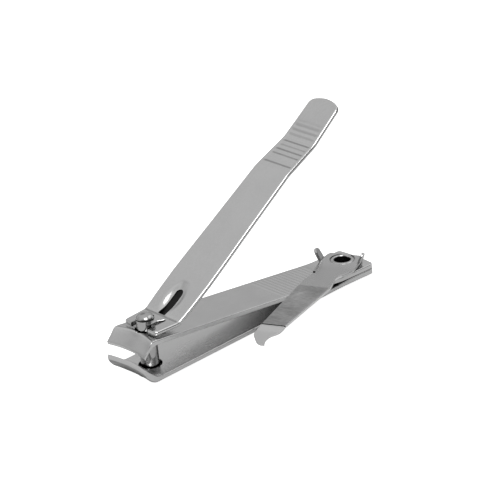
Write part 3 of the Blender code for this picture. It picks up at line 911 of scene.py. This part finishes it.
def make_file(material, cut_steel, tip_and_painted_highlight_steel, painted_shadow):
    blank = grid_body("file_blank", file_rows())
    combine(blank, [ear(1), ear(-1)], "UNION")
    bottom = file_bottom()
    seat = bottom + FILE_SHEET - FLANGE_THICKNESS - SEAT_GAP
    wide = RIVET_FLANGE + SEAT_MARGIN
    bore = turned("bore", [
        (RIVET_HOLE_RADIUS, bottom - 2), (RIVET_HOLE_RADIUS, seat), (wide, seat), (wide, bottom + 3),
    ])
    pocket_floor = bottom + file_height(POCKET_STATION) + POCKET_FLOOR
    shadow_pocket = prism("shadow_pocket", POCKET, pocket_floor, bottom + 3)
    combine(blank, [bore, shadow_pocket])
    blank.matrix_world = tail_frame() @ Matrix.Rotation(FILE_SWING, 4, "Z")
    bpy.context.view_layer.update()
    start, end = TOOTH_ZONE
    near_edge = [row[:2] for row in FILE_OUTLINE]
    pocket_left, pocket_near = POCKET[0]
    pocket_right = POCKET[1][0]

    # The pocket's walls and floor are painted black as shadow.
    def in_pocket(middle, normal):
        inside = pocket_left - 0.02 < middle.x < pocket_right + 0.02 and pocket_near - 0.02 < middle.y < 5.0
        return inside and pocket_floor - 0.05 < middle.z < pocket_floor + 0.4

    def in_teeth(middle, normal):
        return start < -middle.x < end and normal.z > 0.3 and middle.y > between(near_edge, -middle.x) + 0.4

    # The stop groove is painted black as shadow.
    def in_groove(middle, normal):
        return abs(-middle.x - STOP_GROOVE[0]) < STOP_GROOVE[1] * 0.7 and normal.z > 0.2

    # A lighter steel: a painted highlight on the file's near side edge, and the lighter tip past the stop
    # groove.
    def near_edge_highlight_and_tip(middle, normal):
        near_edge_painted_highlight = middle.y < 0 and abs(normal.z) < 0.85 and -middle.x > 11
        return near_edge_painted_highlight or -middle.x > STOP_GROOVE[0] + STOP_GROOVE[1]

    regions = [(tip_and_painted_highlight_steel, near_edge_highlight_and_tip), (cut_steel, in_teeth), (painted_shadow, in_groove), (painted_shadow, in_pocket)]
    finish(blank, material, "file_arm", "nail_file", regions=regions)


def make_rivet(material, painted_shadow):
    """The hollow rivet: a closed profile turned round its axis, over the lip, down the shank and back."""
    top = file_bottom() + FILE_SHEET + 0.05
    low = -BLADE_GAP
    t = FLANGE_THICKNESS
    lip = [(RIVET_BORE, top - 0.6), (RIVET_BORE + 0.03, top - 0.3), (RIVET_BORE + 0.14, top - 0.1)]
    lip += [(RIVET_BORE + 0.34, top), (RIVET_BORE + 0.6, top - 0.01), (RIVET_FLANGE - 0.14, top - 0.1)]
    lip += [(RIVET_FLANGE, top - 0.22), (RIVET_FLANGE - 0.02, top - t)]
    profile = curve_through(lip, 4)
    profile += [(RIVET_SHANK, top - t - 0.02), (RIVET_SHANK, low), (RIVET_FLANGE, low)]
    profile += curve_through([
        (RIVET_FLANGE, low - 0.16), (RIVET_FLANGE - 0.15, low - 0.32),
        (RIVET_BORE + 0.3, low - 0.34), (RIVET_BORE, low - 0.1),
    ], 3)
    rivet = turned("eyelet_rivet", profile, loop=True)
    rivet.matrix_world = tail_frame()
    bpy.context.view_layer.update()

    # The rivet's bore is painted black as shadow.
    def in_bore(middle, normal):
        return hypot(middle.x, middle.y) < RIVET_BORE + 0.06 and middle.z < top - 0.2

    finish(rivet, material, "lower_body", "tail_rivet", regions=[(painted_shadow, in_bore)])


# Floor, light and camera --------------------------------------------------------------------------


def make_floor():
    """Paper that is pure white to the camera and light grey to everything else."""
    shape = bmesh.new()
    bmesh.ops.create_grid(shape, x_segments=1, y_segments=1, size=FLOOR_HALF * MM)
    mesh = bpy.data.meshes.new("floor")
    shape.to_mesh(mesh)
    shape.free()
    floor = bpy.data.objects.new("floor", mesh)
    bpy.context.scene.collection.objects.link(floor)
    material = bpy.data.materials.new("white_paper")
    material.use_nodes = True
    tree = material.node_tree
    tree.nodes.clear()
    seen = add_node(tree, "ShaderNodeLightPath").outputs["Is Camera Ray"]
    paper = add_node(tree, "ShaderNodeBsdfDiffuse", {"Color": (0.75, 0.75, 0.75, 1.0)}).outputs["BSDF"]
    lit = add_node(tree, "ShaderNodeEmission", {"Color": WHITE, "Strength": 1.0}).outputs["Emission"]
    both = add_node(tree, "ShaderNodeAddShader", {0: paper, 1: lit}).outputs["Shader"]
    mixed = add_node(tree, "ShaderNodeMixShader", {0: seen, 1: paper, 2: both}).outputs["Shader"]
    output = add_node(tree, "ShaderNodeOutputMaterial", {"Surface": mixed})
    output.is_active_output = True
    mesh.materials.append(material)


def make_surroundings():
    """A studio: white to the camera, and to the steel a grey room that is dark low down behind the camera."""
    world = bpy.data.worlds.new("studio")
    bpy.context.scene.world = world
    world.use_nodes = True
    tree = world.node_tree
    tree.nodes.clear()
    way = add_node(tree, "ShaderNodeTexCoord").outputs["Generated"]
    parts = add_node(tree, "ShaderNodeSeparateXYZ", {"Vector": way})
    rise = add_node(tree, "ShaderNodeMapRange", {
        "Value": parts.outputs["Z"], "From Min": -1.0, "From Max": 1.0,
    }).outputs["Result"]
    back = ramp_node(tree, rise, ROOM_BACK)
    front = ramp_node(tree, rise, ROOM_FRONT)
    backwards = add_node(tree, "ShaderNodeMapRange", {
        "Value": parts.outputs["Y"], "From Min": ROOM_BLEND[0], "From Max": ROOM_BLEND[1],
    }, interpolation_type="SMOOTHSTEP").outputs["Result"]
    room = mixed_colours(tree, backwards, front, back)
    for facing, edge, core, gain in CARDS:
        toward = add_node(
            tree, "ShaderNodeVectorMath", {0: way, 1: facing.normalized()}, operation="DOT_PRODUCT"
        ).outputs["Value"]
        card = add_node(tree, "ShaderNodeMapRange", {
            "Value": toward, "From Min": edge, "From Max": core, "To Min": 1.0, "To Max": gain,
        }, interpolation_type="SMOOTHSTEP").outputs["Result"]
        room = add_node(tree, "ShaderNodeVectorMath", {
            0: room, "Scale": card,
        }, operation="SCALE").outputs["Vector"]
    seen = add_node(tree, "ShaderNodeLightPath").outputs["Is Camera Ray"]
    shown = mixed_colours(tree, seen, room, WHITE)
    sky = add_node(tree, "ShaderNodeBackground", {"Color": shown, "Strength": 1.0}).outputs["Background"]
    add_node(tree, "ShaderNodeOutputWorld", {"Surface": sky})


def ramp_node(tree, value, stops):
    """A colour ramp over the height of the direction, from straight down at -1 to straight up at 1."""
    node = add_node(tree, "ShaderNodeValToRGB", {"Fac": value})
    elements = node.color_ramp.elements
    while len(elements) < len(stops):
        elements.new(0.5)
    for element, (height, grey) in zip(elements, stops):
        element.position = (height + 1) / 2
        element.color = (grey, grey, grey, 1.0)
    return node.outputs["Color"]


def soft_light(name, azimuth, elevation, distance, size, power):
    """A soft box that faces the clipper; azimuth runs from +X towards +Y."""
    data = bpy.data.lights.new(name, "AREA")
    data.shape = "RECTANGLE"
    data.size = size[0] * MM
    data.size_y = size[1] * MM
    data.energy = power
    light = bpy.data.objects.new(name, data)
    bpy.context.scene.collection.objects.link(light)
    a, e = radians(azimuth), radians(elevation)
    towards = Vector((cos(a) * cos(e), sin(a) * cos(e), sin(e)))
    light.location = Vector(LOOK_AT) * MM + towards * distance * MM
    light.rotation_euler = towards.to_track_quat("Z", "Y").to_euler()


def make_camera():
    """A long lens aimed at LOOK_AT. At azimuth 0 it would look along +Y, and the roll is about its axis."""
    back = Vector((
        sin(CAMERA_AZIMUTH) * cos(CAMERA_ELEVATION),
        -cos(CAMERA_AZIMUTH) * cos(CAMERA_ELEVATION),
        sin(CAMERA_ELEVATION),
    ))
    right = Vector((0, 0, 1)).cross(back).normalized()
    up = back.cross(right)
    rolled_right = cos(CAMERA_ROLL) * right + sin(CAMERA_ROLL) * up
    rolled_up = cos(CAMERA_ROLL) * up - sin(CAMERA_ROLL) * right
    data = bpy.data.cameras.new("camera")
    data.sensor_width = 36.0
    data.lens = CAMERA_LENS
    data.clip_start = 0.01
    data.clip_end = 20.0
    camera = bpy.data.objects.new("camera", data)
    bpy.context.scene.collection.objects.link(camera)
    axes = Matrix((rolled_right, rolled_up, back)).transposed().to_4x4()
    camera.matrix_world = Matrix.Translation((Vector(LOOK_AT) + back * CAMERA_DISTANCE) * MM) @ axes
    bpy.context.scene.camera = camera


def main():
    make_camera()
    make_surroundings()
    make_floor()
    soft_light(
        "top_softbox", azimuth=-115.0, elevation=57.0, distance=900.0, size=(420.0, 700.0), power=3.7
    )
    blade_steel = steel("blade_steel", 0.6, 0.16, LONG_GRAIN, 0.0000012)
    post_steel = steel("post_steel", 0.46, 0.09, (900.0, 900.0, 5000.0), 0.0000008)
    # The blades' inner faces, whose tone darkens towards the tail as painted shade in the gap.
    inside_shaded_steel = steel(
        "inside_blade_steel_painted_shade", 0.68, 0.26, (60.0, 1400.0, 1400.0), 0.0000004, contrast=0.02, gap_shade=0.33
    )
    # Painted shade: a darker steel for the lower jaw's underside, where it faces the shadow under the clipper.
    belly_painted_shade = steel("jaw_belly_painted_shade", 0.3, 0.2, LONG_GRAIN, 0.000001)
    lever_steel = steel("lever_steel", 0.6, 0.2, (70.0, 2400.0, 2400.0), 0.0000012)
    file_steel = steel("file_steel", 0.53, 0.25, EVEN_GRAIN, 0.0000002, contrast=0.02)
    cut_steel = steel(
        "cut_file_steel", 0.42, 0.34, (2600.0, 700.0, 700.0), 0.00001,
        turn=-FILE_SWING, contrast=0.5, cross=True,
    )
    # Lighter file steel: a painted highlight on the near side edge, and the tip's lighter tone past the stop
    # groove.
    tip_and_painted_highlight_steel = steel("file_tip_and_painted_highlight_steel", 0.74, 0.22, EVEN_GRAIN, 0.0000002)
    # Near-black steel that stands for shadow: painted shadow in the holes, the post's neck and notch, the slot,
    # the groove, the pocket and the rivet's bore.
    painted_shadow = steel("painted_shadow_steel", 0.025, 0.5, EVEN_GRAIN, 0.000001)
    rivet_steel = steel("rivet_steel", 0.52, 0.12, (1200.0, 1200.0, 1200.0), 0.0000008)
    make_blades(blade_steel, inside_shaded_steel, belly_painted_shade, painted_shadow)
    make_post(post_steel, painted_shadow)
    make_lever(lever_steel, painted_shadow)
    make_file(file_steel, cut_steel, tip_and_painted_highlight_steel, painted_shadow)
    make_rivet(rivet_steel, painted_shadow)
    bpy.context.scene.view_settings.view_transform = "Standard"


main()
